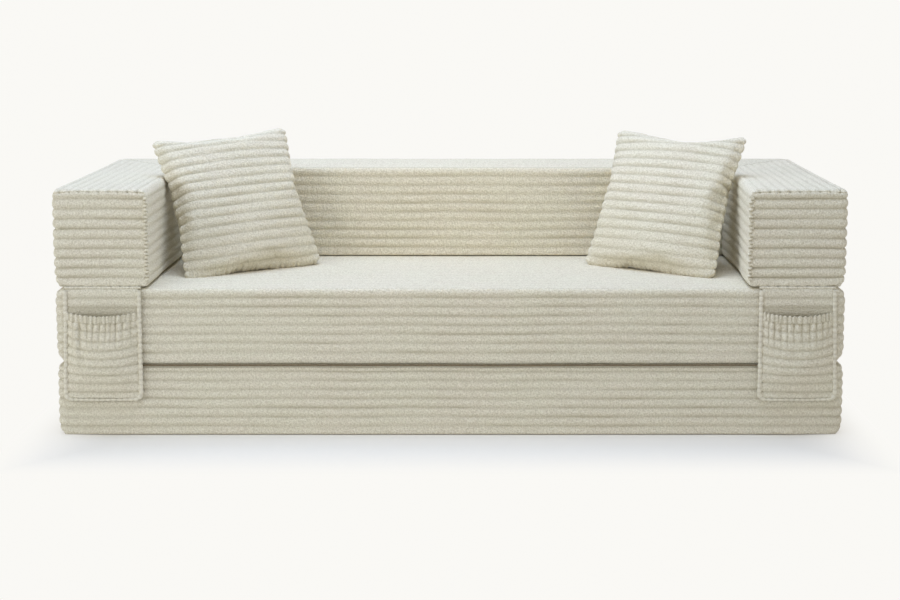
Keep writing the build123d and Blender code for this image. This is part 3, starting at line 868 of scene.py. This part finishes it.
def pouch_surface(across, up, seed):
    """Where a point of the gathered pouch lies: how far out from the panel, its height, and the shade painted
    on it in the rib seams, between the gathers and between the scallops of its mouth
    """
    swell = 1 - abs(across) ** 2.2
    profile = 0.12 + 0.90 * smooth(-0.05, 0.42, up) - 0.28 * smooth(0.60, 0.92, up)
    out = pouch_off_panel + pouch_bulge * profile * swell
    height = panel_low + up * pouch_rise + mouth_curve * across * across * smooth(0.6, 1.0, up)
    band = smooth(0.905, 0.922, up)
    gathers = smooth(0.42, 0.88, up) * (1 - smooth(0.78, 0.98, abs(across)))
    stray = 0.30 * wander((across * 1.3, up * 0.8, seed), 0.4, seed + 7)
    pleat = gathers_across / 2 * across + 0.22 * sin(4 * across + seed) + stray
    fold = pile(pleat + 0.5, 0.7)
    uneven = 1 + 0.4 * wander((across, up, seed), 0.3, seed)
    out += gathers * (1 - band) * gather_depth * (fold - 0.55) * uneven
    pinch = exp(-(((up - 0.912) / 0.010) ** 2))
    out += mouth_curl * band - mouth_pinch * pinch * gathers
    scallop = pile(1.45 * pleat + 0.25, 0.7)
    out += mouth_scallop * band * (scallop - 0.5)
    height += scallop_rise * band * (scallop - 0.5) * smooth(0.95, 1.0, up)
    out += pouch_slack * wander((across, up, seed), 0.35, seed + 4) * swell * (1 - band)
    fold_line = -0.80 + 0.22 * (1 - up)
    flank = exp(-(((across - fold_line) / 0.10) ** 2))
    flank -= 0.5 * exp(-(((across - fold_line - 0.2) / 0.09) ** 2))
    sag = pouch_sag if seed == left_seed else 0.4 * pouch_sag
    out += sag * flank * smooth(0.22, 0.6, up) * (1 - smooth(0.84, 0.95, up))
    drape = pouch_drape * (1 - across * across) * smooth(0.15, 0.7, up)
    rib = 1 - pile((hem_level - height - drape) / rib_pitch, 0.6)
    out -= pouch_rib_depth * rib * (1 - band)
    shades = (0.9 * rib * (1 - band), 1.1 * gathers * (1 - fold) ** 1.5, 0.9 * band * (1 - scallop))
    return out, height, max(shades)


left_seed, right_seed = 31.0, 47.0
for side, name, seed in ((-1, "left", left_seed), (1, "right", right_seed)):
    middle = side * pocket_middle
    body = f"pocket_{name}"

    low = (middle - panel_half - side_allowance, panel_back - panel_thickness, panel_low - panel_hang)
    high = (middle + panel_half + side_allowance, panel_back, hem_level)
    panel = padded_box(low, high, (30, 1, 72))
    flat = keep_flat_place(panel)
    groove = panel.verts.layers.float.new("groove")
    for point in panel.verts:
        seam = 1 - pile((hem_level - point.co.z) / rib_pitch, 0.5)
        # Painted shade in the rib seams, and a painted shadow on the panel just behind the pouch's mouth.
        point[groove] = seam + 0.55 * smooth(shadow_top, shadow_foot, point.co.z)
        if point.co.y < panel_back - panel_thickness / 2:
            point.co.y += panel_rib_depth * seam + panel_unevenness * wander(point.co, 0.05, seed)
            point.co.y += hem_turn * smooth(hem_level - hem_turn_run, hem_level, point.co.z)
        point.co.x += side * lean_out(side * (point.co.x - middle) / panel_half, point.co.z)
    finish_piece(panel, f"{body}_ribbed_panel", chenille, body, [f"{body}_panel"])

    pouch = bmesh.new()
    bmesh.ops.create_grid(pouch, x_segments=144, y_segments=110, size=1)
    flat = keep_flat_place(pouch)
    groove = pouch.verts.layers.float.new("groove")
    for point in pouch.verts:
        across, up = point.co.x, (point.co.y + 1) / 2
        out, height, seam = pouch_surface(across, up, seed)
        corner = 1 - 0.10 * (1 - smooth(0.0, 0.07, up)) ** 2
        point[groove] = seam
        outward = side * lean_out(side * across, height)
        reach = across * (panel_half + side_allowance) * corner
        point.co = (middle + reach + outward, panel_front - out, height)
    bmesh.ops.recalc_face_normals(pouch, faces=pouch.faces)
    if sum(face.normal.y for face in pouch.faces) > 0:
        bmesh.ops.reverse_faces(pouch, faces=pouch.faces)
    bmesh.ops.solidify(pouch, geom=pouch.faces, thickness=pouch_wall)
    bag = finish_piece(pouch, f"{body}_gathered_pouch", chenille, body, [f"{body}_pouch"])

    elastic = strip(1, elastic_width, elastic_thickness, (60, 1, 4))
    for point in elastic.verts:
        across = (point.co.x - 0.5) * elastic_span
        out, height, seam = pouch_surface(across, elastic_level, seed)
        outward = side * lean_out(side * across, height)
        inside = panel_front - out + pouch_wall + elastic_gap + point.co.y
        point.co = (middle + across * panel_half + outward, inside, height + point.co.z)
    finish_piece(elastic, f"{body}_mouth_elastic", rubber, body, [f"{body}_elastic"])

    half, top, foot = panel_half + binding_outset, hem_level - binding_off_top, panel_low - binding_outset
    straight_runs = 2 * (top - foot - binding_radius) + 2 * (half - binding_radius)
    length = straight_runs + binding_radius * pi
    binding = strip(length, binding_width, binding_thickness, (300, 4, 4))
    groove = binding.verts.layers.float["groove"]
    for point in binding.verts:
        distance = point.co.x
        x, z, heading = round_the_panel(distance, half, top, foot, binding_radius)
        bulge = pile(distance / binding_bead + 0.1 * sin(distance * 40 + seed), 0.6)
        # Painted shade in the hollows between the binding's beads.
        point[groove] = 0.6 * (1 - bulge)
        fullness = 0.74 + 0.38 * bulge + 0.06 * wander((distance, 0, 0), 0.03, seed)
        fullness *= 1 - 0.25 * smooth(0.6, 0.3, abs(heading))
        reach = point.co.z * fullness
        sway = binding_sway * wander((distance, 0, 0), 0.06, seed + 2)
        point.co = (
            middle + x - sin(heading) * (reach + sway) + side * lean_out(side * x / half, z),
            panel_front - binding_off_panel + point.co.y * fullness,
            z + cos(heading) * (reach + sway),
        )
    bmesh.ops.recalc_face_normals(binding, faces=binding.faces)
    finish_piece(binding, f"{body}_sewn_binding", binding_cloth, body, [f"{body}_binding"])

    hem = strip(2 * panel_half + 2 * hem_overhang, hem_size, hem_size, (90, 4, 4))
    groove = hem.verts.layers.float["groove"]
    for point in hem.verts:
        bulge = pile(point.co.x / hem_bead, 0.5)
        # Painted shade in the hollows between the hem's beads.
        point[groove] = 0.6 * (1 - bulge)
        roundness = 0.82 + 0.16 * bulge
        point.co = (
            middle - panel_half - hem_overhang + point.co.x,
            hem_front + point.co.y * roundness,
            hem_level + hem_rise + point.co.z * roundness,
        )
    finish_piece(hem, f"{body}_rolled_hem", chenille, body, [f"{body}_hem_piping"])
    anchor = f"{body}_anchor_tape"
    laid_tape(anchor, f"{body}_woven_anchor", "surround", tape_weave, (40, 10, 1), anchor_tuck)

# Loose pillows: two square cases of the same ribbed cloth, sewn all round with a zip along the foot, filled
# until they crown, and leant into the back corners. The cloth simulation blows each flat case up, which draws
# its sides in between the corners; the sewn-in rib ends then stand out along the seams.
pillow_size = 0.400
pillow_thickness = 0.120
pillow_rib_count = 16
pillow_corner = 0.018
pillow_rib_depth = 0.0042
worn_rib_depth = 0.0028
rib_end_rise = 0.0056
ruffle_depth = 0.0045
ruffles_along_foot = 13.5
crown_start = 0.012
side_fullness = 0.006
height_fullness = 0.009
foot_line_y = -0.108
foot_gap = 0.0032
dip_reach = 0.8
insert_share = (0.93, 0.93, 0.86)
case_gap = 0.004
sewn_cells = 48
lining_cells = 24
filling_pressure = 1.8
filling_frames = 18


def sewn_case(cells):
    """Two flat squares of cloth sewn together round their edges"""
    case = bmesh.new()
    bmesh.ops.create_grid(case, x_segments=cells, y_segments=cells, size=pillow_size / 2)
    back = bmesh.ops.duplicate(case, geom=case.verts[:] + case.edges[:] + case.faces[:])["geom"]
    back_points = [g for g in back if isinstance(g, bmesh.types.BMVert)]
    bmesh.ops.translate(case, vec=(0, 0, -case_gap), verts=back_points)
    bmesh.ops.reverse_faces(case, faces=[g for g in back if isinstance(g, bmesh.types.BMFace)])
    bmesh.ops.bridge_loops(case, edges=[e for e in case.edges if e.is_boundary])
    bmesh.ops.recalc_face_normals(case, faces=case.faces)
    flat = keep_flat_place(case)
    for point in case.verts:
        u, v = [2 * part / pillow_size for part in point[flat].xy]
        face = 1 if point[flat].z > -case_gap / 2 else -1
        uneven = 1 + 0.25 * wander((u, v, face), 0.9, 71.0)
        point.co.z += face * crown_start * (1 - u * u) * (1 - v * v) * uneven
    return case


def blown_up(case):
    """Fill a sewn case by the cloth simulation and keep the shape that it takes"""
    data = bpy.data.meshes.new("filling case")
    case.to_mesh(data)
    case.free()
    piece = bpy.data.objects.new("filling case", data)
    bpy.context.scene.collection.objects.link(piece)
    cloth = piece.modifiers.new("filling", "CLOTH")
    settings = cloth.settings
    settings.use_pressure = True
    settings.uniform_pressure_force = filling_pressure
    settings.effector_weights.gravity = 0
    settings.quality = 5
    settings.mass = 0.3
    settings.tension_stiffness = 15
    settings.compression_stiffness = 15
    settings.shear_stiffness = 5
    settings.bending_stiffness = 0.5
    cloth.collision_settings.use_collision = False
    cloth.point_cache.frame_start = 1
    cloth.point_cache.frame_end = filling_frames
    for number in range(1, filling_frames + 1):
        bpy.context.scene.frame_set(number)
    shape = bpy.data.meshes.new_from_object(piece.evaluated_get(bpy.context.evaluated_depsgraph_get()))
    bpy.context.scene.frame_set(1)
    bpy.data.objects.remove(piece)
    filled = bmesh.new()
    filled.from_mesh(shape)
    return filled


def puffed(case):
    """Quick stand-in for the simulation: the same crown and drawn-in sides from a formula"""
    flat = case.verts.layers.float_vector["flat"]
    half = pillow_size / 2
    draw_in = 0.075
    for point in case.verts:
        u, v = [2 * part / pillow_size for part in point[flat].xy]
        face = 1 if point[flat].z > -case_gap / 2 else -1
        puff = max(1 - abs(u) ** 2.4, 0) ** 0.62 * max(1 - abs(v) ** 2.4, 0) ** 0.62
        across = u * (1 - draw_in * (1 - v * v) * abs(u) ** 3)
        along = v * (1 - draw_in * (1 - u * u) * abs(v) ** 3)
        point.co = (across * half, along * half, face * (case_gap / 2 + pillow_thickness / 2 * puff))
    return case


def fit_to(case, size):
    """Scale a filled case to its finished width, height and thickness, and centre it"""
    spans = [[point.co[way] for point in case.verts] for way in range(3)]
    middle = [(min(span) + max(span)) / 2 for span in spans]
    bmesh.ops.translate(case, vec=[-part for part in middle], verts=case.verts)
    stretch = [wanted / (max(span) - min(span)) for wanted, span in zip(size, spans)]
    bmesh.ops.scale(case, vec=stretch, verts=case.verts)


def lean_back(piece, foot, across, upward, thick):
    """Stand a flat piece on its foot line, along the three ways of the leaning pillow"""
    for point in piece.verts:
        a, h, t = point.co
        point.co = foot + across * a + upward * (h + pillow_size / 2) + thick * t
    bmesh.ops.recalc_face_normals(piece, faces=piece.faces)


zip_length = 0.240
seam_tape_width = 0.007
seam_tape_thickness = 0.0012
seam_loop = 0.0018
for side, name, angles, foot_x, dip_place, dip_depth in (
    (-1, "left", (33.6, 26.0, -2.5), -0.539, -0.5, 0.008),
    (1, "right", (36.4, 26.0, 0.0), 0.536, 0.2, 0.018),
):
    body = f"pillow_{name}"
    turn, lean, roll = [radians(angle) for angle in angles]
    level = Vector((cos(turn), -side * sin(turn), 0))
    level_back = Vector((side * sin(turn), cos(turn), 0))
    steep = Vector((0, 0, 1)) * cos(lean) + level_back * sin(lean)
    across = level * cos(roll) - steep * sin(roll)
    upward = steep * cos(roll) + level * sin(roll)
    thick = upward.cross(across)
    foot = Vector((foot_x, foot_line_y, seat_top + foot_gap))
    case = sewn_case(sewn_cells)
    case = blown_up(case)
    bmesh.ops.subdivide_edges(case, edges=case.edges, cuts=1, use_grid_fill=True)
    every_way = {f"use_axis_{way}": True for way in "xyz"}
    bmesh.ops.smooth_vert(case, verts=case.verts, factor=0.5, **every_way)
    fit_to(case, (pillow_size + side_fullness, pillow_size + height_fullness, pillow_thickness))
    round_corners(case, [-pillow_size / 2] * 2, [pillow_size / 2] * 2, (pillow_corner,) * 4)
    flat = case.verts.layers.float_vector["flat"]
    groove = case.verts.layers.float.new("groove")
    foot_line = [point for point in case.verts if point[flat].y < -0.499 * pillow_size]
    foot_rise = min(foot_line, key=lambda point: abs(point[flat].x)).co.y + pillow_size / 2
    case.normal_update()
    normals = [point.normal.copy() for point in case.verts]
    for point, normal in zip(case.verts, normals):
        u, v = [held(2 * part / pillow_size, -1, 1) for part in point[flat].xy]
        phase = (v + 1) / 2 * pillow_rib_count
        fullness = min(1, abs(point.co.z) / crown_start)
        seam = 1 - pile(phase, 0.6)
        seam_strength = 0.8 + 0.5 * wander((u, v * 2, side), 0.5, 73.0)
        low_down = smooth(0.3, -0.8, v)
        # Painted shade: in the rib seams, a little over the whole case, and more toward the foot.
        point[groove] = 0.85 * seam * fullness * seam_strength + 0.05 + 0.11 * low_down
        depth = pillow_rib_depth + (worn_rib_depth - pillow_rib_depth) * low_down
        point.co -= normal * depth * seam * fullness * seam_strength
        rib_end = smooth(0.93, 1.0, abs(u)) * (1 if u > 0 else -1)
        point.co.x += rib_end_rise * (pile(phase, 0.6) - 0.5) * rib_end
        ruffle = pile(u * ruffles_along_foot + 0.2 * sin(9 * u), 0.6)
        at_foot = smooth(0.90, 1.0, -v)
        levelled = foot_rise * (1 - u**4) * max(-v, 0) ** 3
        point.co.y -= levelled + (ruffle_depth * ruffle - ruffle_depth / 3) * at_foot
        point.co.z *= 1 + 0.8 * ruffle * at_foot
        # Painted shade in the hollows between the ruffles along the foot.
        point[groove] = max(point[groove], 0.8 * (1 - ruffle) * smooth(0.95, 1.0, -v))
        dip = max(1 - abs(u - dip_place) / dip_reach, 0)
        point.co.y -= dip_depth * dip * smooth(0.70, 1.0, v)
    lean_back(case, foot, across, upward, thick)
    panels = [f"{body}_front_panel", f"{body}_back_panel"]
    pillow = finish_piece(case, f"{body}_case", chenille, body, panels)

    insert = puffed(sewn_case(lining_cells))
    bmesh.ops.scale(insert, vec=insert_share, verts=insert.verts)
    lean_back(insert, foot, across, upward, thick)
    inner = finish_piece(insert, f"{body}_filled_lining", lining, body, [f"{body}_insert"])

    tape = strip(zip_length, seam_tape_width, seam_tape_thickness, (40, 1, 2))
    for point in tape.verts:
        along, height = point.co.x - zip_length / 2, point.co.z + seam_tape_width / 2
        point.co = foot + across * along + upward * height + thick * point.co.y
    finish_piece(tape, f"{body}_zip_tape", zip_tape, body, [f"{body}_zip"])
    loops = int(zip_length / coil_pitch) - 4
    first = foot - across * (zip_length / 2 - 2 * coil_pitch) + upward * seam_tape_thickness
    coil_row(f"{body}_zip_coil", body, first, across * coil_pitch, loops, (seam_loop,) * 3)
    use_everywhere(f"{body}_zip_slider", cast_metal)
